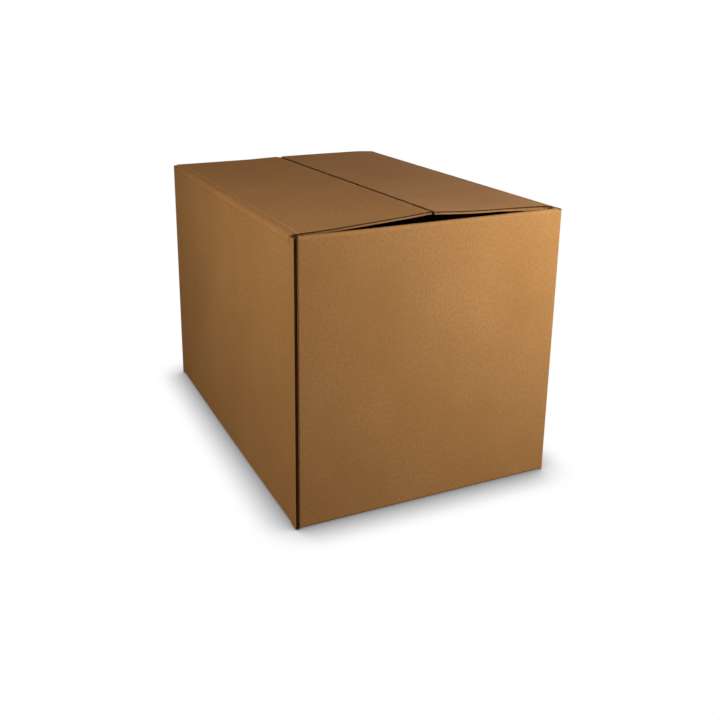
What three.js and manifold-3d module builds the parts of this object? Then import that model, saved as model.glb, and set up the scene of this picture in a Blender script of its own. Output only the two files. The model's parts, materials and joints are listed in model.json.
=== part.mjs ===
// Shipping box: a slotted carton folded from one sheet of double-wall corrugated board.
// The two outer top flaps swing on their creases. All lengths are in millimetres and +Z is up.
// The origin lies on the floor under the middle of the box, with the long walls along Y.
import * as THREE from 'three';
import { mergeGeometries, mergeVertices } from 'three/addons/utils/BufferGeometryUtils.js';
import Module from 'manifold-3d';

// Outside size of the closed box, up to its top creases
const length = 620;
const width = 430;
const height = 430;

// Corrugated board, from its outer face inwards: the two rows of flutes with a liner between them
const board = 6.5;
const linerThickness = 0.45;
const fineFluteHeight = 2.3;
const fineFlutePitch = 6.3;
const coarseFlutePitch = 7.9;
const fluteWall = 0.5;
const openFluteDepth = 9;
const openEndDepth = 2.5;
const endHollowMargin = 12;

// Folds
const uprightFoldRadius = 5;
const innerFoldRadius = 5;
const bottomFoldRadius = 7;
const flapShoulderRadius = 9;
const foldSteps = 6;

// Slots between neighbouring flaps
const innerFlapInset = 7;
const outerFlapInset = 18;
const slotEndStep = 1;

// Inner flaps: the top pair droops into the box and the bottom pair lies on the outer flaps
const innerFlapReach = 215;
const innerFlapDroop = THREE.MathUtils.degToRad(32);

// Outer flaps: they stand up a little where they meet
const seamGap = 2;
const seamShift = 2;
const seamSkew = 2;
const seamRiseFront = 11;
const seamRiseBack = 4;
const leftFlapCurve = 1.9;
const rightFlapCurve = 2.5;
const hingeGap = 0.3;

// Glue tab of the maker's joint, inside the left wall at the front corner
const tabReach = 38;
const tabTaper = 18;
const tabShortfall = 12;
const glueLine = 0.05;
const jointGap = 0.3;

const halfLength = length / 2;
const halfWidth = width / 2;
const innerFlapHalf = halfWidth - innerFlapInset;
const outerFlapHalf = halfLength - outerFlapInset;
const wallTop = height - board - hingeGap;

const wasm = await Module();
wasm.setup();

function solidFrom(geometry) {
  const bare = geometry.index ? geometry.toNonIndexed() : geometry.clone();
  bare.deleteAttribute('normal');
  bare.deleteAttribute('uv');
  const merged = mergeVertices(bare, 1e-4);
  return new wasm.Manifold(new wasm.Mesh({
    numProp: 3,
    vertProperties: new Float32Array(merged.attributes.position.array),
    triVerts: new Uint32Array(merged.index.array),
  }));
}

function meshFrom(solid, name, material) {
  const { vertProperties, triVerts } = solid.getMesh();
  const geometry = new THREE.BufferGeometry();
  geometry.setAttribute('position', new THREE.BufferAttribute(new Float32Array(vertProperties), 3));
  geometry.setIndex(new THREE.BufferAttribute(new Uint32Array(triVerts), 1));
  geometry.computeVertexNormals();
  const mesh = new THREE.Mesh(geometry, material);
  mesh.name = name;
  return mesh;
}

// Outline of a bent sheet. The outer face runs through the corner points, rounded where the sheet
// folds over to its left, and the inner face lies one board to the left of it.
function bentSheet(corners, radius) {
  const points = corners.map(([across, up]) => new THREE.Vector2(across, up));
  const outer = [];
  const inner = [];
  const leftOf = (direction) => new THREE.Vector2(-direction.y, direction.x);
  points.forEach((point, index) => {
    const arriving = index > 0 && point.clone().sub(points[index - 1]).normalize();
    const leaving = index < points.length - 1 && points[index + 1].clone().sub(point).normalize();
    const normalIn = leftOf(arriving || leaving);
    const normalOut = leftOf(leaving || arriving);
    const turn = arriving && leaving ? Math.atan2(arriving.cross(leaving), arriving.dot(leaving)) : 0;
    const mitre = normalIn.clone().add(normalOut).multiplyScalar(board / (1 + normalIn.dot(normalOut)));
    inner.unshift(point.clone().add(mitre));
    if (turn < 0.05) {
      outer.push(point);
      return;
    }
    const start = point.clone().addScaledVector(arriving, -radius * Math.tan(turn / 2));
    const centre = start.clone().addScaledVector(normalIn, radius);
    for (let step = 0; step <= foldSteps; step += 1) {
      outer.push(start.clone().rotateAround(centre, turn * step / foldSteps));
    }
  });
  return new THREE.Shape([...outer, ...inner]);
}

// A profile drawn in X and Z, drawn out along Y
function alongY(shape, from, to) {
  const geometry = new THREE.ExtrudeGeometry(shape, { depth: to - from, bevelEnabled: false });
  geometry.rotateX(Math.PI / 2);
  geometry.translate(0, to, 0);
  return solidFrom(geometry);
}

// A profile drawn in Y and Z, drawn out along X
function alongX(shape, from, to) {
  const geometry = new THREE.ExtrudeGeometry(shape, { depth: to - from, bevelEnabled: false });
  geometry.applyMatrix4(new THREE.Matrix4().makeBasis(
    new THREE.Vector3(0, 1, 0), new THREE.Vector3(0, 0, 1), new THREE.Vector3(1, 0, 0),
  ));
  geometry.translate(from, 0, 0);
  return solidFrom(geometry);
}

function alongZ(shape, from, to) {
  const geometry = new THREE.ExtrudeGeometry(shape, { depth: to - from, bevelEnabled: false });
  geometry.translate(0, 0, from);
  return solidFrom(geometry);
}

function block(sizeX, sizeY, sizeZ, centre) {
  const geometry = new THREE.BoxGeometry(sizeX, sizeY, sizeZ);
  geometry.translate(...centre);
  return solidFrom(geometry);
}

const halfTurn = (solid) => solid.rotate([0, 0, 180]);

// Heights of the two rows of flutes above the board's inner face
const coarseRow = {
  low: linerThickness,
  high: board - fineFluteHeight - 2 * linerThickness,
  pitch: coarseFlutePitch,
};
const fineRow = {
  low: board - fineFluteHeight - linerThickness,
  high: board - linerThickness,
  pitch: fineFlutePitch,
};

// The four walls as one band that starts behind the front panel's left fold and ends at the raw
// front edge of the left wall
const wallBand = bentSheet([
  [-halfWidth + board + jointGap, -halfLength + 2 * board],
  [-halfWidth + board + jointGap, -halfLength],
  [halfWidth, -halfLength],
  [halfWidth, halfLength],
  [-halfWidth, halfLength],
  [-halfWidth, -halfLength],
], uprightFoldRadius);

// The wall corners rise past the flap creases to the ends of the slots
function wallCorners() {
  return alongZ(wallBand, slotEndStep, height - slotEndStep)
    .subtract(block(2 * innerFlapHalf, 2 * length, 3 * height, [0, 0, 0]))
    .subtract(block(2 * width, 2 * (outerFlapHalf + hingeGap), 3 * height, [0, 0, 0]));
}

// Front panel with its two inner flaps. The top one slopes down into the box. The bottom one slopes
// up to the outer flaps and lies flat on them.
function endPanel() {
  const slope = new THREE.Vector2(Math.cos(innerFlapDroop), Math.sin(innerFlapDroop));
  const peak = innerFoldRadius * ((1 + slope.y) / slope.x - 1);
  const restHeight = board - glueLine;
  const restStart = (restHeight + peak) * slope.x / slope.y;
  const shape = bentSheet([
    [-halfLength + innerFlapReach * slope.x, height + peak - innerFlapReach * slope.y],
    [-halfLength, height + peak],
    [-halfLength, -peak],
    [-halfLength + restStart, restHeight],
    [-halfLength + innerFlapReach, restHeight],
  ], innerFoldRadius);
  return alongX(shape, -innerFlapHalf, innerFlapHalf);
}

// Left wall between its slots, with the bottom outer flap that the box stands on
function sidePanel() {
  const shape = bentSheet([
    [-halfWidth, wallTop],
    [-halfWidth, 0],
    [-seamGap / 2, 0],
  ], bottomFoldRadius);
  return alongY(shape, -outerFlapHalf, outerFlapHalf);
}

// Glue tab with tapered ends, stuck to the inner face of the left wall
function glueTab() {
  const start = -halfLength + board - glueLine;
  const end = -halfLength + tabReach;
  const shape = new THREE.Shape([
    new THREE.Vector2(start, tabShortfall),
    new THREE.Vector2(end, tabShortfall + tabTaper),
    new THREE.Vector2(end, height - tabShortfall - tabTaper),
    new THREE.Vector2(start, height - tabShortfall),
  ]);
  const face = -halfWidth + board;
  return alongX(shape, face - glueLine, face + board);
}

// The raw front edge of the left wall shows the hollow rows between its liners
function rawEdgeHollows() {
  const rows = [coarseRow, fineRow].map(({ low, high }) => block(
    high - low, 2 * openEndDepth, 2 * height,
    [-halfWidth + board - (low + high) / 2, -halfLength, height / 2],
  ));
  return rows[0].add(rows[1]);
}

function cartonBody() {
  return alongZ(wallBand, bottomFoldRadius, wallTop)
    .add(wallCorners())
    .add(endPanel())
    .add(halfTurn(endPanel()))
    .add(sidePanel())
    .add(halfTurn(sidePanel()))
    .add(glueTab())
    .subtract(rawEdgeHollows());
}

// How far the outer flaps stand above their flat position where they meet, at a place along Y
function seamRise(y) {
  return THREE.MathUtils.mapLinear(y, -outerFlapHalf, outerFlapHalf, seamRiseFront, seamRiseBack);
}

// Place of the seam across the box, at a place along Y
function seamPlace(y) {
  return seamShift - seamSkew * y / outerFlapHalf;
}

// An outer flap is drawn flat and then bent. While flat, X runs from the crease at 0 to the free
// edge at 1, Y runs along the crease and Z is the height above the board's inner face. The left
// flap curls up towards its free edge and the right flap bulges.
const flaps = {
  left: { turned: 1, curl: (share) => share ** leftFlapCurve },
  right: { turned: -1, curl: (share) => 1 - Math.max(0, 1 - share) ** rightFlapCurve },
};

function bendFlap(geometry, flap) {
  const position = geometry.attributes.position;
  const creaseShare = flapShoulderRadius / halfWidth;
  for (let index = 0; index < position.count; index += 1) {
    const share = position.getX(index);
    const y = position.getY(index) * flap.turned;
    const reach = halfWidth + flap.turned * seamPlace(y) - seamGap / 2;
    const bendShare = Math.max(0, (share - creaseShare) / (1 - creaseShare));
    position.setXYZ(
      index,
      flap.turned * (share * reach - halfWidth),
      y,
      height - board + position.getZ(index) + seamRise(y) * flap.curl(bendShare),
    );
  }
  return geometry;
}

// The whole flap: a sheet with a rounded shoulder at its crease
function flapSheet(flap) {
  const spanSteps = 12;
  const alongSteps = 8;
  const creaseShare = flapShoulderRadius / halfWidth;
  const underside = board - flapShoulderRadius;
  const lastAngle = Math.PI - Math.asin(Math.max(0, -underside / flapShoulderRadius));
  const shape = new THREE.Shape();
  shape.moveTo(creaseShare, 0);
  for (let step = 1; step <= spanSteps; step += 1) {
    shape.lineTo(THREE.MathUtils.lerp(creaseShare, 1, step / spanSteps), 0);
  }
  for (let step = spanSteps; step > 0; step -= 1) {
    shape.lineTo(THREE.MathUtils.lerp(creaseShare, 1, step / spanSteps), board);
  }
  for (let step = 0; step <= foldSteps; step += 1) {
    const angle = THREE.MathUtils.lerp(Math.PI / 2, lastAngle, step / foldSteps);
    shape.lineTo(
      creaseShare * (1 + Math.cos(angle)),
      underside + flapShoulderRadius * Math.sin(angle),
    );
  }
  const sheet = new THREE.ExtrudeGeometry(shape, {
    depth: 2 * outerFlapHalf, steps: alongSteps, bevelEnabled: false,
  });
  sheet.rotateX(Math.PI / 2);
  sheet.translate(0, outerFlapHalf, 0);
  return solidFrom(bendFlap(sheet, flap));
}

// A hollow with an outline in Y and Z, run along the flutes between two shares of the flap's reach
function hollow(corners, from, to, steps) {
  const shape = new THREE.Shape(corners.map(([y, z]) => new THREE.Vector2(y, z)));
  const geometry = new THREE.ExtrudeGeometry(shape, { depth: to - from, steps, bevelEnabled: false });
  geometry.applyMatrix4(new THREE.Matrix4().makeBasis(
    new THREE.Vector3(0, 1, 0), new THREE.Vector3(0, 0, 1), new THREE.Vector3(1, 0, 0),
  ));
  geometry.translate(from, 0, 0);
  return geometry;
}

// The flutes end open along the free edge: a hollow under each arch of the fluted paper and one
// between each two arches
function openFlutes({ low, high, pitch }) {
  const count = Math.floor(2 * (outerFlapHalf - openEndDepth) / pitch) - 1;
  const halfBase = pitch / 2 - fluteWall;
  const from = 1 - openFluteDepth / halfWidth;
  const past = 1 + openFluteDepth / halfWidth;
  const hollows = [];
  for (let index = 0; index < count; index += 1) {
    const under = (index - (count - 1) / 2) * pitch - pitch / 4;
    const over = under + pitch / 2;
    hollows.push(hollow([[under - halfBase, low], [under + halfBase, low], [under, high]], from, past, 1));
    hollows.push(hollow([[over - halfBase, high], [over, low], [over + halfBase, high]], from, past, 1));
  }
  return hollows;
}

// The cut ends run along the flutes and show a long hollow in each row
function openEnds({ low, high }) {
  const from = (flapShoulderRadius + endHollowMargin) / halfWidth;
  const to = 1 - (openFluteDepth + endHollowMargin) / halfWidth;
  return [-1, 1].map((end) => {
    const inside = end * (outerFlapHalf - openEndDepth);
    const outside = end * (outerFlapHalf + openEndDepth);
    const [near, far] = end < 0 ? [outside, inside] : [inside, outside];
    return hollow([[near, low], [far, low], [far, high], [near, high]], from, to, 12);
  });
}

function topFlap(flap) {
  const hollows = [coarseRow, fineRow].flatMap((row) => [...openFlutes(row), ...openEnds(row)]);
  return flapSheet(flap).subtract(solidFrom(bendFlap(mergeGeometries(hollows), flap)));
}

const kraft = new THREE.MeshStandardMaterial({ color: 0xb07f4b, roughness: 0.85, metalness: 0 });
const kraftFlap = new THREE.MeshStandardMaterial({ color: 0xa97945, roughness: 0.85, metalness: 0 });

const carton = new THREE.Group();
carton.name = 'shipping_box';
carton.add(meshFrom(cartonBody(), 'carton_body', kraft));
carton.add(meshFrom(topFlap(flaps.left), 'left_top_flap', kraftFlap));
carton.add(meshFrom(topFlap(flaps.right), 'right_top_flap', kraftFlap));

export default carton;
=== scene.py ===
import bisect
import json
import math

import bpy
import numpy as np
from mathutils import Matrix, Vector, noise


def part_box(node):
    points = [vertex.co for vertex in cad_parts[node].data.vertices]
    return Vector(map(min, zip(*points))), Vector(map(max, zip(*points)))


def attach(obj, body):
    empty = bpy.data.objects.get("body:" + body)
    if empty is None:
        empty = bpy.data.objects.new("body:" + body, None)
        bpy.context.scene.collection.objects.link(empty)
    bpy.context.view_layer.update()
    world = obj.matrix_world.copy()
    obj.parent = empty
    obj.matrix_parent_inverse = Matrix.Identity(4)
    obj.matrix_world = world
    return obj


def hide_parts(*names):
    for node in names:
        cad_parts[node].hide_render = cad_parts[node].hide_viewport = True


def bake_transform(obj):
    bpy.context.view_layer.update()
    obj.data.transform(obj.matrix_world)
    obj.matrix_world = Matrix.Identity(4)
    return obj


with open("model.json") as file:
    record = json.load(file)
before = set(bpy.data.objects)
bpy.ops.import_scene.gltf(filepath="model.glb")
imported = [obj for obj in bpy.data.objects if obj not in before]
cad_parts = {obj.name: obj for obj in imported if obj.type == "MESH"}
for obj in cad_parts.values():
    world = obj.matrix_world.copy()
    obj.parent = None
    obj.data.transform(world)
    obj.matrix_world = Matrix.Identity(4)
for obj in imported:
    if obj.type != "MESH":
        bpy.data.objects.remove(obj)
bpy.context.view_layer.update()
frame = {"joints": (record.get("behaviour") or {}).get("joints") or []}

# the frame's own sizes, in metres
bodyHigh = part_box("carton_body")[1]
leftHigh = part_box("left_top_flap")[1]
hinges = {joint["name"]: joint for joint in frame["joints"]}
halfWidth = bodyHigh.x
halfLength = bodyHigh.y
creaseTop = hinges["left_flap_crease"]["pos_m"][2]
flapHalf = leftHigh.y
seamTop = leftHigh.z

board = {
    "thickness": 0.0065,
    "liner": 0.00045,
    "fineFlute": 0.0023,      # height of the outer row
    "finePitch": 0.0063,
    "coarsePitch": 0.0079,
    "endRecess": 0.0022,      # hollow between liners where the cut runs along the flutes
    "endInnerRecess": 0.0009,
    "openRecess": 0.007,      # and where it runs across them
    "jointRecess": 0.0034,    # and at the raw end of the sheet, from the outer liner inwards
    "jointMiddleRecess": 0.0030,
    "jointInnerRecess": 0.0016,
    "medium": 0.00025,
}

print("frame loaded, box", [round(v * 1000) for v in (halfWidth * 2, halfLength * 2, creaseTop)])


def smooth(value):
    value = min(1.0, max(0.0, value))
    return value * value * (3 - 2 * value)


def steps(low, high, count):
    return [low + (high - low) * i / count for i in range(count + 1)]


def merged(*lists):
    values = sorted(v for part in lists for v in part)
    kept = values[:1]
    for value in values[1:]:
        if value - kept[-1] > 2e-5:
            kept.append(value)
    return kept


# kraft board

paper = {
    "light": (0.58, 0.287, 0.110),
    "dark": (0.465, 0.216, 0.077),
    "shade": (0.385, 0.175, 0.058),
    "fibre": (0.30, 0.135, 0.042),
    "cutEdge": (0.40, 0.205, 0.085),
    # near-black painted shade for faces set back inside the board's flutes and gaps
    "hollow": (0.10, 0.036, 0.008),
    "roughness": 0.78,
}

# noise scales round the walls, up the flutes and into the board, and heights in metres
surface = {
    "clouds": (7.0, 5.0, 7.0),
    "mottle": (260.0, 200.0, 260.0),
    "grain": (420.0, 1900.0, 420.0),
    "fleck": (520.0, 1300.0, 520.0),
    "wander": (18.0, 3.0, 18.0),
    "fuzz": (700.0, 700.0, 700.0),
    "streak": (60.0, 60.0, 60.0),
    "fluteHeight": 0.000014,
    "mottleHeight": 0.00010,
    "grainHeight": 0.000035,
    "fuzzHeight": 0.0002,
    "faceSpecular": 0.05,
    "cutSpecular": 0.15,
}


def newMaterial(name):
    material = bpy.data.materials.new(name)
    material.use_nodes = True
    nodes = material.node_tree.nodes
    nodes.clear()
    output = nodes.new("ShaderNodeOutputMaterial")
    shader = nodes.new("ShaderNodeBsdfPrincipled")
    material.node_tree.links.new(shader.outputs["BSDF"], output.inputs["Surface"])
    return material, nodes, material.node_tree.links, shader


def colour(rgb):
    return (rgb[0], rgb[1], rgb[2], 1.0)


def sheetCoordinates(nodes, links, scale):
    # place on the flat sheet: round the walls, up the flutes, and into the board
    place = nodes.new("ShaderNodeAttribute")
    place.attribute_name = "sheetPlace"
    mapping = nodes.new("ShaderNodeMapping")
    mapping.inputs["Scale"].default_value = scale
    links.new(place.outputs["Vector"], mapping.inputs["Vector"])
    return mapping.outputs["Vector"]


def noiseOf(nodes, links, scale, detail=2.0, rough=0.5, distortion=0.0):
    texture = nodes.new("ShaderNodeTexNoise")
    texture.inputs["Scale"].default_value = 1.0
    texture.inputs["Detail"].default_value = detail
    texture.inputs["Roughness"].default_value = rough
    texture.inputs["Distortion"].default_value = distortion
    links.new(sheetCoordinates(nodes, links, scale), texture.inputs["Vector"])
    return texture.outputs["Fac"]


def ramp(nodes, links, source, low, high, first=0.0, last=1.0):
    spread = nodes.new("ShaderNodeMapRange")
    spread.inputs["From Min"].default_value = low
    spread.inputs["From Max"].default_value = high
    spread.inputs["To Min"].default_value = first
    spread.inputs["To Max"].default_value = last
    links.new(source, spread.inputs["Value"])
    return spread.outputs["Result"]


def maths(nodes, links, operation, first, second):
    node = nodes.new("ShaderNodeMath")
    node.operation = operation
    for index, value in enumerate((first, second)):
        if isinstance(value, (int, float)):
            node.inputs[index].default_value = value
        else:
            links.new(value, node.inputs[index])
    return node.outputs["Value"]


def mixColour(nodes, links, factor, first, second, blend="MIX"):
    mix = nodes.new("ShaderNodeMix")
    mix.data_type = "RGBA"
    mix.blend_type = blend
    for label, value in (("Factor", factor), ("A", first), ("B", second)):
        socket = mix.inputs[label]
        if isinstance(value, (int, float)):
            socket.default_value = value
        elif isinstance(value, tuple):
            socket.default_value = colour(value)
        else:
            links.new(value, socket)
    return mix.outputs["Result"]


def kraftFace():
    material, nodes, links, shader = newMaterial("kraftFace")
    clouds = noiseOf(nodes, links, surface["clouds"], 4.0, 0.6)
    mottle = noiseOf(nodes, links, surface["mottle"], 4.0, 0.62)
    grain = noiseOf(nodes, links, surface["grain"], 3.0, 0.6)
    fleck = noiseOf(nodes, links, surface["fleck"], 1.0, 0.4, 0.6)
    tone = mixColour(nodes, links, ramp(nodes, links, clouds, 0.3, 0.7), paper["dark"], paper["light"])
    tone = mixColour(nodes, links, ramp(nodes, links, mottle, 0.30, 0.70, 0.0, 0.75), tone, paper["shade"])
    tone = mixColour(nodes, links, ramp(nodes, links, grain, 0.35, 0.8, 0.0, 0.30), tone, paper["light"])
    tone = mixColour(nodes, links, ramp(nodes, links, fleck, 0.66, 0.78, 0.0, 0.55), tone, paper["fibre"])
    links.new(tone, shader.inputs["Base Color"])

    # flutes show through the liner as faint upright bands
    place = nodes.new("ShaderNodeAttribute")
    place.attribute_name = "sheetPlace"
    split = nodes.new("ShaderNodeSeparateXYZ")
    links.new(place.outputs["Vector"], split.inputs["Vector"])
    wander = noiseOf(nodes, links, surface["wander"], 2.0)
    phase = maths(nodes, links, "MULTIPLY", split.outputs["X"], 2 * math.pi / board["finePitch"])
    phase = maths(nodes, links, "ADD", phase, maths(nodes, links, "MULTIPLY", wander, 2.5))
    flute = maths(nodes, links, "SINE", phase, 0.0)
    height = maths(nodes, links, "MULTIPLY", flute, surface["fluteHeight"])
    for source, amount in ((mottle, surface["mottleHeight"]), (grain, surface["grainHeight"])):
        height = maths(nodes, links, "ADD", height, maths(nodes, links, "MULTIPLY", source, amount))
    bump = nodes.new("ShaderNodeBump")
    bump.inputs["Strength"].default_value = 1.0
    bump.inputs["Distance"].default_value = 1.0
    links.new(height, bump.inputs["Height"])
    links.new(bump.outputs["Normal"], shader.inputs["Normal"])
    rough = ramp(nodes, links, mottle, 0.2, 0.8, paper["roughness"] - 0.08, paper["roughness"] + 0.1)
    links.new(rough, shader.inputs["Roughness"])
    shader.inputs["Specular IOR Level"].default_value = surface["faceSpecular"]
    return material


def cutPaper(name, rgb, roughness):
    material, nodes, links, shader = newMaterial(name)
    fuzz = noiseOf(nodes, links, surface["fuzz"], 3.0, 0.7)
    streak = noiseOf(nodes, links, surface["streak"], 3.0, 0.6)
    darker = tuple(c * 0.55 for c in rgb)
    lighter = tuple(min(1.0, c * 1.35) for c in rgb)
    tone = mixColour(nodes, links, ramp(nodes, links, fuzz, 0.3, 0.7), darker, lighter)
    tone = mixColour(nodes, links, ramp(nodes, links, streak, 0.35, 0.65, 0.0, 0.5), tone, rgb)
    links.new(tone, shader.inputs["Base Color"])
    bump = nodes.new("ShaderNodeBump")
    bump.inputs["Distance"].default_value = surface["fuzzHeight"]
    links.new(fuzz, bump.inputs["Height"])
    links.new(bump.outputs["Normal"], shader.inputs["Normal"])
    shader.inputs["Roughness"].default_value = roughness
    shader.inputs["Specular IOR Level"].default_value = surface["cutSpecular"]
    return material


faceMaterial = kraftFace()
edgeMaterial = cutPaper("cutEdge", paper["cutEdge"], 0.9)
# painted shade: near-black material for the recessed cut faces, the gaps and the near-left post's top
hollowShadeMaterial = cutPaper("fluteHollow", paper["hollow"], 0.95)
print("materials made")


# Builds a piece of board from its place on the flat sheet. columns run along the walls, rows along
# the flutes, and place(column, row, depth, side) gives the point in space.
def layerDepths(fineRecess, coarseRecess, coarseKind="hollow", middleRecess=0.0, middleKind="edge"):
    # depth into the board, how far the cut edge draws back there, and what shows from there on. Faces set
    # back into the hollows take the near-black painted shade
    liner = board["liner"]
    thick = board["thickness"]
    middle = liner + board["fineFlute"]
    return [
        (0.0, 0.0, "edge"),
        (liner, 0.0, "hollow"),
        (liner, fineRecess, "hollow"),
        (middle, fineRecess, "hollow"),
        (middle, middleRecess, middleKind),
        (middle + liner, middleRecess, coarseKind),
        (middle + liner, coarseRecess, coarseKind),
        (thick - liner, coarseRecess, coarseKind),
        (thick - liner, 0.0, "edge"),
        (thick, 0.0, None),
    ]


# the open, end and joint cuts paint their set-back faces near-black as the shade inside the board
cutEdges = {
    "open": layerDepths(board["openRecess"], board["openRecess"]),
    "end": layerDepths(board["endRecess"], board["endInnerRecess"], "edge"),
    "joint": layerDepths(
        board["jointRecess"], board["jointInnerRecess"], "hollow", board["jointMiddleRecess"], "hollow",
    ),
    "closed": [(0.0, 0.0, "edge"), (board["thickness"], 0.0, None)],
    # the near-left post's top: wholly near-black, a painted shadow line
    "crushed": [(0.0, 0.0, "hollow"), (board["thickness"], 0.0, None)],
}


def boardPiece(name, columns, rows, hasCell, place, sheetPlace, thickness=None, cutStyle=None):
    points = []
    stamps = []
    faces = []
    kinds = []
    known = {}
    thick = thickness or board["thickness"]

    def vertex(key, column, row, depth):
        if key not in known:
            known[key] = len(points)
            points.append(place(column, row, depth))
            stamps.append(sheetPlace(column, row, depth))
        return known[key]

    def quad(a, b, c, d, kind):
        if len({a, b, c, d}) == 4:
            faces.append((a, b, c, d))
            kinds.append(kind)

    cells = {
        (j, i)
        for j in range(len(columns) - 1)
        for i in range(len(rows) - 1)
        if hasCell(j, i)
    }
    for j, i in sorted(cells):
        for depth, face in ((0.0, "outer"), (thick, "inner")):
            ring = [(j, i), (j + 1, i), (j + 1, i + 1), (j, i + 1)]
            ids = [vertex((face, a, b), columns[a], rows[b], depth) for a, b in ring]
            quad(*(ids if face == "outer" else ids[::-1]), "face")

    for j, i in sorted(cells):
        borders = [
            ("left", (j - 1, i), (j, i + 1), (j, i), 1, 0),
            ("right", (j + 1, i), (j + 1, i), (j + 1, i + 1), -1, 0),
            ("low", (j, i - 1), (j, i), (j + 1, i), 0, 1),
            ("high", (j, i + 1), (j + 1, i + 1), (j, i + 1), 0, -1),
        ]
        for side, neighbour, start, end, inAcross, inAlong in borders:
            if neighbour in cells:
                continue
            style = (cutStyle and cutStyle(side, j, i)) or ("end" if inAcross else "open")
            chosen = cutEdges[style]
            # the thin crease strips' front and back ends take the near-black painted shade, their other
            # sides the cut-edge colour
            if thickness:
                chosen = [(0.0, 0.0, "hollow" if inAcross else "edge"), (thick, 0.0, None)]
            rails = []
            for a, b in (start, end):
                rail = []
                for number, (depth, recess, kind) in enumerate(chosen):
                    key = (side, a, b, number)
                    if number == 0:
                        key = ("outer", a, b)
                    if number == len(chosen) - 1:
                        key = ("inner", a, b)
                    rail.append(vertex(
                        key, columns[a] + inAcross * recess, rows[b] + inAlong * recess, depth,
                    ))
                rails.append(rail)
            for number in range(len(chosen) - 1):
                quad(rails[0][number], rails[1][number], rails[1][number + 1], rails[0][number + 1],
                     chosen[number][2])

    mesh = bpy.data.meshes.new(name)
    mesh.from_pydata(points, [], faces)
    for material in (faceMaterial, edgeMaterial, hollowShadeMaterial):
        mesh.materials.append(material)
    index = {"face": 0, "edge": 1, "hollow": 2}
    mesh.polygons.foreach_set("material_index", [index[kind] for kind in kinds])
    mesh.polygons.foreach_set("use_smooth", [kind == "face" for kind in kinds])
    stamp = mesh.attributes.new("sheetPlace", "FLOAT_VECTOR", "POINT")
    stamp.data.foreach_set("vector", np.array(stamps, np.float32).ravel())
    mesh.update()
    piece = bpy.data.objects.new(name, mesh)
    bpy.context.scene.collection.objects.link(piece)
    return piece


# body: the walls as one band, then the flaps that hang from it

walls = {
    "foldRadius": 0.005,
    "tabReach": 0.038,
    "tabGap": 0.0001,         # between the glue tab and the left wall
    "tabRadius": 0.0026,      # fold between the tab and the front wall
    "tabCrush": 0.0024,
    "lapThickness": 0.0050,   # the left wall is pressed thinner over the tab
    "crush": 0.0035,          # thickness left inside a fold
    "crushRun": 0.004,        # from the fold to the full thickness
    "lapRun": 0.008,          # and from the pressed lap to it
    "tabInset": 0.012,        # the tab stops short of the box's top and bottom
    "tabTaper": 0.018,
    "closedZone": 0.012,      # cut ends this near the top and bottom creases are pressed shut
    "bottomSeam": 0.0002,     # half the gap between the outer bottom flaps
    "waviness": 0.0005,
    "innerFlapHalf": halfWidth - 0.007,
    "outerFlapHalf": flapHalf,
    "innerFlapReach": 0.215,
    "droop": math.radians(32),
    "bottomRadius": 0.0055,
    "bendRun": 0.006,         # over which the inner bottom flaps level out
    "slotEnd": 0.001,
    "wallTop": creaseTop - 0.0095,
    "bow": 0.0009,            # how far the wall panels bow out
    "footBow": 0.0014,        # and the left wall at its foot
    "cornerTops": {"nearLeft": creaseTop - 0.0012, "farLeft": creaseTop - 0.0020},
}

thick = board["thickness"]
bandCorners = [
    (-halfWidth + walls["lapThickness"] + walls["tabGap"], -halfLength + walls["tabReach"]),
    (-halfWidth + walls["lapThickness"] + walls["tabGap"], -halfLength),
    (halfWidth, -halfLength),
    (halfWidth, halfLength),
    (-halfWidth, halfLength),
    (-halfWidth, -halfLength),
]


def bandSegments():
    # straight stretches and quarter arcs, with the distance round the box at which each starts
    radii = [0.0, walls["tabRadius"]] + [walls["foldRadius"]] * 3 + [0.0]
    segments = []
    distance = 0.0
    corners = [Vector(c) for c in bandCorners]
    for index in range(len(corners) - 1):
        start, end = corners[index], corners[index + 1]
        direction = (end - start).normalized()
        trimStart, trimEnd = radii[index], radii[index + 1]
        first = start + direction * trimStart
        span = (end - start).length - trimStart - trimEnd
        segments.append({"kind": "line", "at": distance, "span": span, "from": first, "way": direction,
                         "panel": ["tab", "front", "right", "back", "left"][index]})
        distance += span
        if index < len(corners) - 2:
            onward = (corners[index + 2] - end).normalized()
            arcSpan = trimEnd * math.pi / 2
            centre = end - direction * trimEnd + onward * trimEnd
            segments.append({"kind": "arc", "at": distance, "span": arcSpan, "radius": trimEnd,
                             "centre": centre, "way": direction, "onward": onward, "panel": "fold"})
            distance += arcSpan
    return segments


segments = bandSegments()
segmentStarts = [segment["at"] for segment in segments]
panelStart = {s["panel"]: s["at"] for s in segments if s["kind"] == "line"}


def onBand(distance):
    segment = segments[max(0, bisect.bisect_right(segmentStarts, distance + 1e-9) - 1)]
    run = distance - segment["at"]
    if segment["kind"] == "line":
        point = segment["from"] + segment["way"] * run
        outward = Vector((segment["way"].y, -segment["way"].x))
        nearFold = min(run if segment["at"] > 0 else 1.0,
                       segment["span"] - run if segment is not segments[-1] else 1.0)
        atFold = walls["crush"]
        if segment["panel"] == "tab" or segment["panel"] == "front" and run < segment["span"] / 2:
            atFold = walls["tabCrush"]
        crush = atFold + (thick - atFold) * smooth(nearFold / walls["crushRun"])
        if segment["panel"] == "left":
            beyondLap = segment["span"] - run - walls["tabReach"] - 0.001
            spare = (thick - walls["lapThickness"]) * smooth(beyondLap / walls["lapRun"])
            crush = min(crush, walls["lapThickness"] + spare)
        return point, outward, crush, segment["panel"]
    radius = segment["radius"]
    turn = run / radius
    radial = segment["way"] * math.sin(turn) - segment["onward"] * math.cos(turn)
    point = segment["centre"] + radial * radius
    return point, radial, walls["tabCrush"] if radius == walls["tabRadius"] else walls["crush"], "fold"


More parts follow.
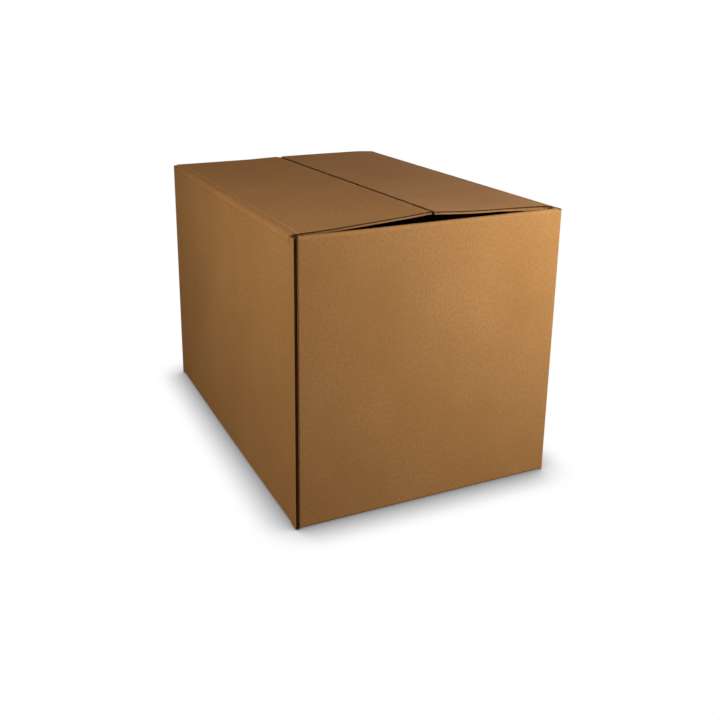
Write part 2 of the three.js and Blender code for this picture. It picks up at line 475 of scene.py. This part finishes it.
def alongPanel(panel, point):
    return point.x if panel in ("front", "back") else point.y


def inFlapRange(panel, point):
    if panel in ("front", "back"):
        return abs(point.x) <= walls["innerFlapHalf"] + 1e-6
    if panel in ("left", "right"):
        return abs(point.y) <= walls["outerFlapHalf"] + 1e-6
    return False


def foldOver(run, radius, turn):
    # distance in from the wall face, height above the fold's start and the sheet's direction
    arc = radius * turn
    if run <= arc:
        angle = run / radius
        return radius - radius * math.cos(angle), radius * math.sin(angle), angle
    beyond = run - arc
    return (
        radius - radius * math.cos(turn) + beyond * math.sin(turn),
        radius * math.sin(turn) + beyond * math.cos(turn),
        turn,
    )


endTurn = math.pi / 2 + walls["droop"]
endArc = walls["foldRadius"] * endTurn
slopeRun = walls["innerFlapReach"] - walls["foldRadius"] * math.tan(endTurn / 2)
bottomSlope = (thick - walls["foldRadius"] * (1 - math.sin(endTurn))) / -math.cos(endTurn)


def panelProfile(panel, flapHere, row):
    # row is the height on the wall, and runs on over the folds. Gives how far in, how high, the angle
    # of the sheet's outer normal above the horizontal and whether it lies in a fold.
    radius = walls["foldRadius"]
    if not flapHere:
        return 0.0, row, 0.0, False
    if panel in ("front", "back"):
        if row > creaseTop - radius:
            run = row - creaseTop + radius
            inward, up, angle = foldOver(run, radius, endTurn)
            return inward, creaseTop - radius + up, angle, run < endArc
        if row < radius:
            run = radius - row
            inward, down, angle = foldOver(min(run, endArc + bottomSlope), radius, endTurn)
            beyond = run - endArc - bottomSlope
            if beyond <= 0:
                return inward, radius - down, -angle, run < endArc
            share = min(1.0, beyond / walls["bendRun"])
            inward += beyond
            return inward, radius - down, -(angle + (math.pi / 2 - angle) * share), False
        return 0.0, row, 0.0, False
    if row < walls["bottomRadius"]:
        run = walls["bottomRadius"] - row
        inward, down, angle = foldOver(run, walls["bottomRadius"], math.pi / 2)
        return inward, walls["bottomRadius"] - down, -angle, run < walls["bottomRadius"] * math.pi / 2
    return 0.0, row, 0.0, False


def bodyPlace(column, row, depth):
    point, outward, crush, panel = onBand(column)
    flapHere = inFlapRange(panel, point)
    inward, up, angle, inFold = panelProfile(panel, flapHere, row)
    if inFold:
        crush = min(crush, walls["crush"] + 0.001)
    depth = depth * crush / thick
    bow = 0.0
    if panel in ("front", "back", "left", "right"):
        half = halfWidth if panel in ("front", "back") else halfLength
        across = 1 - (alongPanel(panel, point) / half) ** 2
        high = min(1.0, max(0.0, row / creaseTop))
        upward = 4 * high * (1 - high)
        bow = walls["bow"] * across * upward
        if panel == "left":
            bow += walls["footBow"] * across * (1 - smooth(high * 1.6))
        bow += walls["waviness"] * smooth(across * 3) * smooth(upward * 2) * noise.noise(
            Vector((column * 9, row * 7, 3.0)))
    across, above = math.cos(angle), math.sin(angle)
    spot = point - outward * (inward - bow)
    return (
        spot.x - outward.x * across * depth,
        spot.y - outward.y * across * depth,
        up - above * depth,
    )


def bodyStamp(column, row, depth):
    return (column, row, depth)


def bandColumns():
    columns = []
    for segment in segments:
        if segment["kind"] == "arc":
            columns.append(steps(segment["at"], segment["at"] + segment["span"], 8))
            continue
        start, span = segment["at"], segment["span"]
        columns.append([start, start + span])
        columns.append([start + v for v in (0.001, 0.002, 0.004) if span > 0.02])
        columns.append([start + span - v for v in (0.001, 0.002, 0.004) if span > 0.02])
        columns.append(steps(start, start + span, max(3, round(span / 0.012))))
        reach = {"front": walls["innerFlapHalf"], "back": walls["innerFlapHalf"],
                 "left": walls["outerFlapHalf"], "right": walls["outerFlapHalf"]}.get(segment["panel"])
        if reach:
            middle = -alongPanel(segment["panel"], segment["from"]) / (
                alongPanel(segment["panel"], segment["way"]))
            columns.append([start + middle - reach, start + middle + reach,
                            start + middle - reach - 0.0006, start + middle + reach + 0.0006])
    return merged(*columns)


def makeBody():
    columns = bandColumns()
    radius = walls["foldRadius"]
    slot = walls["slotEnd"]
    topArcStart = creaseTop - radius
    endSlope = radius - endArc - bottomSlope
    sideFlapStart = walls["bottomRadius"] * (1 - math.pi / 2)
    sideFlapEnd = sideFlapStart - (halfWidth - walls["bottomRadius"] - walls["bottomSeam"])
    rows = merged(
        [slot, radius, walls["bottomRadius"], walls["wallTop"], creaseTop - slot],
        list(walls["cornerTops"].values()),
        steps(slot, walls["bottomRadius"], 6),
        steps(walls["bottomRadius"], 0.02, 3),
        steps(0.02, creaseTop - 0.02, 34),
        steps(creaseTop - 0.02, creaseTop - slot, 10),
        steps(topArcStart, topArcStart + endArc, 14),
        steps(topArcStart + endArc, topArcStart + endArc + slopeRun, 20),
        steps(radius - endArc, radius, 14),
        steps(endSlope, radius - endArc, 3),
        steps(endSlope - walls["bendRun"], endSlope, 4),
        [radius - endArc - slopeRun],
        steps(sideFlapStart, walls["bottomRadius"], 12),
        steps(sideFlapEnd, sideFlapStart, 18),
    )
    sheetEnds = {
        "end": (radius - endArc - slopeRun, topArcStart + endArc + slopeRun),
        "side": (sideFlapEnd, walls["wallTop"]),
        "slot": (slot, creaseTop - slot),
        "tab": (walls["tabInset"], creaseTop - walls["tabInset"]),
    }

    def hasCell(j, i):
        low, high = rows[i], rows[i + 1]
        spots = [onBand(columns[j]), onBand(columns[j + 1])]
        middle = onBand((columns[j] + columns[j + 1]) / 2)
        flapHere = all(inFlapRange(middle[3], spot[0]) for spot in spots)
        if middle[3] == "tab":
            across = (columns[j] + columns[j + 1]) / 2
            taper = walls["tabTaper"] * (1 - across / walls["tabReach"])
            limits = (sheetEnds["tab"][0] + taper, sheetEnds["tab"][1] - taper)
        elif flapHere:
            limits = sheetEnds["end" if middle[3] in ("front", "back") else "side"]
        else:
            limits = sheetEnds["slot"]
            if middle[0].x < 0:
                limits = (slot, walls["cornerTops"]["nearLeft" if middle[0].y < 0 else "farLeft"])
            if middle[3] in ("left", "right") and any(inFlapRange(middle[3], s[0]) for s in spots):
                limits = (limits[0], walls["wallTop"])
        return low >= limits[0] - 1e-6 and high <= limits[1] + 1e-6

    def cutStyle(side, j, i):
        # the corner posts and the walls' tops under the creases are crushed shut. The near-left post's top
        # is drawn near-black, a painted shadow line under the flap's end
        if side == "right" and j == len(columns) - 2:
            return "joint"
        panel = onBand((columns[j] + columns[j + 1]) / 2)[3]
        if side in ("low", "high"):
            tops = [creaseTop - slot, *walls["cornerTops"].values()]
            # painted shadow: the near-left post's top takes the near-black material
            if abs(rows[i + 1] - tops[1]) < 1e-6:
                return "crushed"
            if abs(rows[i] - slot) < 1e-6 or min(abs(rows[i + 1] - top) for top in tops) < 1e-6:
                return "closed"
            if panel in ("left", "right") and abs(rows[i + 1] - walls["wallTop"]) < 1e-6:
                return "closed"
        elif panel != "tab" and 0 < rows[i + 1] and rows[i] < creaseTop:
            if rows[i] > creaseTop - walls["closedZone"] or rows[i + 1] < walls["closedZone"]:
                return "closed"
        return None

    return boardPiece("cartonShell", columns, rows, hasCell, bodyPlace, bodyStamp, cutStyle=cutStyle)


shell = makeBody()
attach(shell, "carton")
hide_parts("carton_body")
print("body shell", len(shell.data.polygons), "faces")


# outer top flaps

topFlaps = {
    "shoulder": {-1: 0.009, 1: 0.0045},    # radius of the left and the right top crease
    "seamGap": 0.0027,        # where the cut edges come closest
    "edgeWander": 0.0018,     # how far each of them draws back elsewhere
    "seamShift": 0.002,
    "seamSkew": 0.002,
    "riseFront": seamTop - creaseTop,
    "riseBack": 0.004,
    "leftCurve": 1.38,
    "leftExtra": 0.0010,      # how much higher the left flap's edge stands at the front
    "rightRoll": 0.0041,      # rise of the right flap that comes at once, over its rolled crease
    "rightCurve": 2.45,
    "pressed": {-1: 0.0022, 1: 0.0004},    # how far the left and right cut edges are pressed down
    "endThickness": 0.70,     # of the board, where the knife pressed the front and back edges
    "joinShare": 0.060,       # where the flap takes over from its crease strip
    "pressedRun": 0.018,      # share of the flap, and metres from its ends, that are pressed
    "ripple": 0.0006,
}
creaseShare = {side: radius / halfWidth for side, radius in topFlaps["shoulder"].items()}


def seamRise(y):
    share = (y + flapHalf) / (2 * flapHalf)
    return topFlaps["riseFront"] + (topFlaps["riseBack"] - topFlaps["riseFront"]) * share


def flapRise(side, y, share):
    share = max(0.0, share)
    if side < 0:
        extra = topFlaps["leftExtra"] * (0.5 - y / flapHalf / 2)
        return (seamRise(y) + extra) * share ** topFlaps["leftCurve"]
    roll = topFlaps["rightRoll"]
    rest = seamRise(y) - roll
    return roll * (1 - (1 - min(1.0, share)) ** 12) + rest * share ** topFlaps["rightCurve"]


def flapPlace(side):
    def place(y, share, depth):
        seam = topFlaps["seamShift"] - topFlaps["seamSkew"] * y / flapHalf
        reach = halfWidth - side * seam - topFlaps["seamGap"] / 2
        drawBack = 0.5 + 0.6 * noise.noise(Vector((y * 38, side * 5, 0)))
        drawBack += 0.7 * noise.noise(Vector((y * 105, side * 9, 2)))
        reach -= topFlaps["edgeWander"] * min(1.0, max(0.0, drawBack)) * smooth((share - 0.8) * 5)
        pressedRun = topFlaps["pressedRun"]
        pressed = topFlaps["pressed"][side] * smooth((share - 1 + pressedRun) / pressedRun)
        pressed *= 1 + 0.7 * noise.noise(Vector((y * 60, side, 7)))
        toEnd = flapHalf - abs(y)
        spare = (1 - topFlaps["endThickness"]) * (1 - smooth(toEnd / pressedRun))
        if side > 0:
            spare *= smooth((share - 0.2) / 0.3)
        depth *= 1 - spare
        bend = (share - creaseShare[side]) / (1 - creaseShare[side])
        ripple = topFlaps["ripple"] * noise.noise(Vector((y * 11, share * 2.5, side * 4)))
        ripple *= smooth(share * 3) * (1 - smooth((share - 0.7) * 4))
        return (
            -side * (share * reach - halfWidth),
            y,
            creaseTop - depth + flapRise(side, y, bend) - pressed * (1 - depth / thick) + ripple,
        )
    return place


def flapStamp(side):
    def stamp(y, share, depth):
        run = creaseTop + share * halfWidth
        if side < 0:
            return (panelStart["left"] + halfLength - y, run, depth)
        return (panelStart["right"] + halfLength + y, run, depth)
    return stamp


def inMetres(side):
    # rows in metres from the crease, so that recesses keep their size
    place, stamp = flapPlace(side), flapStamp(side)
    return (
        lambda y, run, depth: place(y, run / halfWidth, depth),
        lambda y, run, depth: stamp(y, run / halfWidth, depth),
    )


def topFlap(name, side, body, node):
    place, stamp = inMetres(side)
    columns = merged(steps(-flapHalf, flapHalf, 190), [-flapHalf + 0.002, flapHalf - 0.002])
    rows = merged(steps(topFlaps["joinShare"] * halfWidth, halfWidth, 34),
                  [halfWidth - 0.0025, halfWidth - 0.0015, halfWidth - 0.0007])
    piece = boardPiece(name, columns, rows, lambda j, i: True, place, stamp)
    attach(piece, body)
    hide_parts(node)
    return piece


leftFlap = topFlap("leftFlapBoard", -1, "left_flap", "left_top_flap")
rightFlap = topFlap("rightFlapBoard", 1, "right_flap", "right_top_flap")
print("top flaps", len(leftFlap.data.polygons), "faces each")


# the fluted paper that shows in the open ends of the board

def fluteRibbon(name, place, stamp, low, high, edge, inward, body, flutes):
    points, stamps, faces = [], [], []
    liner = board["liner"]
    middle = liner + board["fineFlute"]
    half = board["medium"] / 2
    for top, bottom, pitch in flutes:
        count = round((high - low) / pitch) * 8
        base = len(points)
        for k in range(count + 1):
            y = low + (high - low) * k / count
            drift = 0.35 * noise.noise(Vector((y * 25, pitch * 900, 1.0)))
            wave = math.cos(2 * math.pi * (k / 8 + drift))
            centre = (top + bottom) / 2 + wave * ((bottom - top) / 2 - half)
            fray = 0.0003 * noise.noise(Vector((y * 400, pitch * 90, 0)))
            for depthShift, run in ((-half, 0), (half, 0), (half, 1), (-half, 1)):
                row = edge + inward * (0.0004 + fray + run * board["openRecess"])
                points.append(place(y, row, centre + depthShift))
                stamps.append(stamp(y, row, centre + depthShift))
        for k in range(count):
            a, b = base + 4 * k, base + 4 * k + 4
            for side in range(3):
                first, second = side, side + 1
                if side == 2:
                    first, second = 3, 0
                faces.append((a + first, a + second, b + second, b + first))
    mesh = bpy.data.meshes.new(name)
    mesh.from_pydata(points, [], faces)
    mesh.materials.append(edgeMaterial)
    attribute = mesh.attributes.new("sheetPlace", "FLOAT_VECTOR", "POINT")
    attribute.data.foreach_set("vector", np.array(stamps, np.float32).ravel())
    piece = bpy.data.objects.new(name, mesh)
    bpy.context.scene.collection.objects.link(piece)
    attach(piece, body)
    return piece


fluteRows = [
    (board["liner"], board["liner"] + board["fineFlute"], board["finePitch"]),
    (2 * board["liner"] + board["fineFlute"], board["thickness"] - board["liner"], board["coarsePitch"]),
]
for side, body, label in ((-1, "left_flap", "leftFlapFlutes"), (1, "right_flap", "rightFlapFlutes")):
    place, stamp = inMetres(side)
    fluteRibbon(label, place, stamp, -flapHalf + 0.001, flapHalf - 0.001, halfWidth, -1, body, fluteRows)
print("flutes added")


# crease strips, shaped round the closed creases: the outer half of the board and the inner half

creases = {
    "outerDepth": 0.0032,
    "innerDepth": 0.0030,
    "wallStart": 0.0095,      # below the crease top
    "innerRadius": 0.0018,
}


def roundCorner(run, straight, radius):
    # from a wall's run up to a flap's run inwards: distance in from the wall, height and the angle
    arc = radius * math.pi / 2
    if run < straight:
        return 0.0, run, 0.0
    if run < straight + arc:
        angle = (run - straight) / radius
        return radius - radius * math.cos(angle), straight + radius * math.sin(angle), angle
    return radius + run - straight - arc, straight + radius, math.pi / 2


def creaseStrip(name, side, flapBody, inner):
    stamp = flapStamp(side)
    flapAt = flapPlace(side)
    joinRun = topFlaps["joinShare"] * halfWidth
    radius = creases["innerRadius"] if inner else topFlaps["shoulder"][side]
    base = thick if inner else 0.0
    straight = creases["wallStart"] - base - radius
    arc = radius * math.pi / 2
    total = straight + arc + joinRun - base - radius
    depth = creases["innerDepth"] if inner else creases["outerDepth"]

    def place(y, run, into):
        inward, up, angle = roundCorner(run, straight, radius)
        shift = -into if inner else into
        lift = flapAt(y, (base + inward) / halfWidth, 0)[2] - creaseTop
        across = base + inward + shift * math.cos(angle)
        return (
            side * (halfWidth - across),
            y,
            creaseTop - creases["wallStart"] + up - shift * math.sin(angle) + lift,
        )

    rows = merged(steps(0, straight, 3), steps(straight, straight + arc, 10),
                  steps(straight + arc, total, 2))
    piece = boardPiece(
        name, steps(-flapHalf, flapHalf, 84), rows, lambda j, i: True, place,
        lambda y, run, into: stamp(y, (run - creases["wallStart"]) / halfWidth, into + base),
        thickness=depth,
    )
    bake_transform(piece)
    return piece


for side, body, label in ((-1, "left_flap", "leftCrease"), (1, "right_flap", "rightCrease")):
    creaseStrip(label + "Outer", side, body, False)
    creaseStrip(label + "Inner", side, body, True)
print("crease strips added")


# floor, light and camera

studio = {
    "floorSize": 12.0,
    "shadowReach": 0.065,
    "worldFill": 0.15,
    "fillTint": (1.0, 0.78, 0.57),
    "floorBounce": (0.10, 0.08, 0.06),
    "shadowTone": (0.44, 0.96, 0.26, 1.0),    # from and to the openness, and the tone at each
}


def makeFloor():
    mesh = bpy.data.meshes.new("studioFloor")
    half = studio["floorSize"]
    mesh.from_pydata([(-half, -half, 0), (half, -half, 0), (half, half, 0), (-half, half, 0)], [],
                     [(0, 1, 2, 3)])
    floor = bpy.data.objects.new("studioFloor", mesh)
    bpy.context.scene.collection.objects.link(floor)
    floor.location.z = -0.0004
    material = bpy.data.materials.new("paleFloor")
    material.use_nodes = True
    nodes, links = material.node_tree.nodes, material.node_tree.links
    nodes.clear()
    output = nodes.new("ShaderNodeOutputMaterial")
    mix = nodes.new("ShaderNodeMixShader")
    path = nodes.new("ShaderNodeLightPath")
    seen = maths(nodes, links, "MAXIMUM", path.outputs["Is Camera Ray"], path.outputs["Is Glossy Ray"])
    seen = maths(nodes, links, "MAXIMUM", seen, path.outputs["Is Transmission Ray"])
    diffuse = nodes.new("ShaderNodeBsdfDiffuse")
    diffuse.inputs["Color"].default_value = colour(studio["floorBounce"])
    shade = nodes.new("ShaderNodeAmbientOcclusion")
    shade.samples = 16
    shade.inputs["Distance"].default_value = studio["shadowReach"]
    glow = nodes.new("ShaderNodeEmission")
    tone = ramp(nodes, links, shade.outputs["AO"], *studio["shadowTone"])
    links.new(tone, glow.inputs["Strength"])
    links.new(seen, mix.inputs["Fac"])
    links.new(diffuse.outputs["BSDF"], mix.inputs[1])
    links.new(glow.outputs["Emission"], mix.inputs[2])
    links.new(mix.outputs["Shader"], output.inputs["Surface"])
    mesh.materials.append(material)


def makeWorld():
    world = bpy.data.worlds.new("studioWorld")
    bpy.context.scene.world = world
    world.use_nodes = True
    nodes, links = world.node_tree.nodes, world.node_tree.links
    nodes.clear()
    output = nodes.new("ShaderNodeOutputWorld")
    mix = nodes.new("ShaderNodeMixShader")
    path = nodes.new("ShaderNodeLightPath")
    seen = maths(nodes, links, "MAXIMUM", path.outputs["Is Camera Ray"], path.outputs["Is Glossy Ray"])
    seen = maths(nodes, links, "MAXIMUM", seen, path.outputs["Is Transmission Ray"])
    fill = nodes.new("ShaderNodeBackground")
    fill.inputs["Color"].default_value = colour(studio["fillTint"])
    fill.inputs["Strength"].default_value = studio["worldFill"]
    white = nodes.new("ShaderNodeBackground")
    white.inputs["Color"].default_value = (1, 1, 1, 1)
    links.new(seen, mix.inputs["Fac"])
    links.new(fill.outputs["Background"], mix.inputs[1])
    links.new(white.outputs["Background"], mix.inputs[2])
    links.new(mix.outputs["Shader"], output.inputs["Surface"])


lamps = {
    "frontHigh": {"at": (0.40, -0.81, 0.69), "to": (0.12, -0.31, 0.42), "size": 0.5, "power": 3.95,
                  "tint": (0.76, 0.85, 1.0)},
    "frontLow": {"at": (0.455, -0.835, 0.545), "to": (0.16, -0.31, 0.42), "size": 0.42, "power": 3.2,
                 "tint": (0.97, 1.0, 0.76)},
    "leftSide": {"at": (-0.908, -0.25, 0.66), "to": (-0.215, -0.25, 0.32), "size": 0.45, "power": 3.6,
                 "tint": (0.95, 1.0, 0.88)},
    "behind": {"at": (2.1, 2.0, 0.55), "to": (0, 0.1, 0.22), "size": 1.4, "power": 15,
               "tint": (1.0, 1.0, 1.0)},
    "behindLow": {"at": (0.30, 1.75, 0.24), "to": (0, 0.31, 0.22), "size": 0.36, "power": 7,
                  "tint": (1.0, 1.0, 1.0)},
}


def makeLamps():
    for name, lamp in lamps.items():
        light = bpy.data.lights.new(name, "AREA")
        light.energy = lamp["power"]
        light.size = lamp["size"]
        light.color = lamp["tint"]
        fixture = bpy.data.objects.new(name, light)
        bpy.context.scene.collection.objects.link(fixture)
        fixture.location = lamp["at"]
        aim = Vector(lamp["to"]) - Vector(lamp["at"])
        fixture.rotation_euler = aim.to_track_quat("-Z", "Y").to_euler()
        fixture.visible_camera = False


view = {
    "at": (-0.6089, -1.2899, 0.7033),
    "azimuth": -23.147,
    "elevation": 15.569,
    "roll": -0.173,
    "focalPixels": 847.99,
    "centre": (310.86, 252.99),
    "frame": 720,
}


def makeCamera():
    azimuth, elevation = math.radians(view["azimuth"]), math.radians(view["elevation"])
    back = Vector((
        math.sin(azimuth) * math.cos(elevation),
        -math.cos(azimuth) * math.cos(elevation),
        math.sin(elevation),
    ))
    right = (-back).cross(Vector((0, 0, 1))).normalized()
    up = back.cross(right)
    roll = math.radians(view["roll"])
    tiltedRight = right * math.cos(roll) + up * math.sin(roll)
    tiltedUp = up * math.cos(roll) - right * math.sin(roll)
    camera = bpy.data.cameras.new("photoCamera")
    camera.sensor_width = 36
    camera.lens = view["focalPixels"] / view["frame"] * 36
    middle = (view["frame"] - 1) / 2
    camera.shift_x = (middle - view["centre"][0]) / view["frame"]
    camera.shift_y = (view["centre"][1] - middle) / view["frame"]
    holder = bpy.data.objects.new("photoCamera", camera)
    bpy.context.scene.collection.objects.link(holder)
    turn = Matrix((tiltedRight, tiltedUp, back)).transposed().to_4x4()
    holder.matrix_world = Matrix.Translation(Vector(view["at"])) @ turn
    bpy.context.scene.camera = holder


makeFloor()
makeWorld()
makeLamps()
makeCamera()
bpy.context.scene.view_settings.view_transform = "Standard"
print("studio ready")
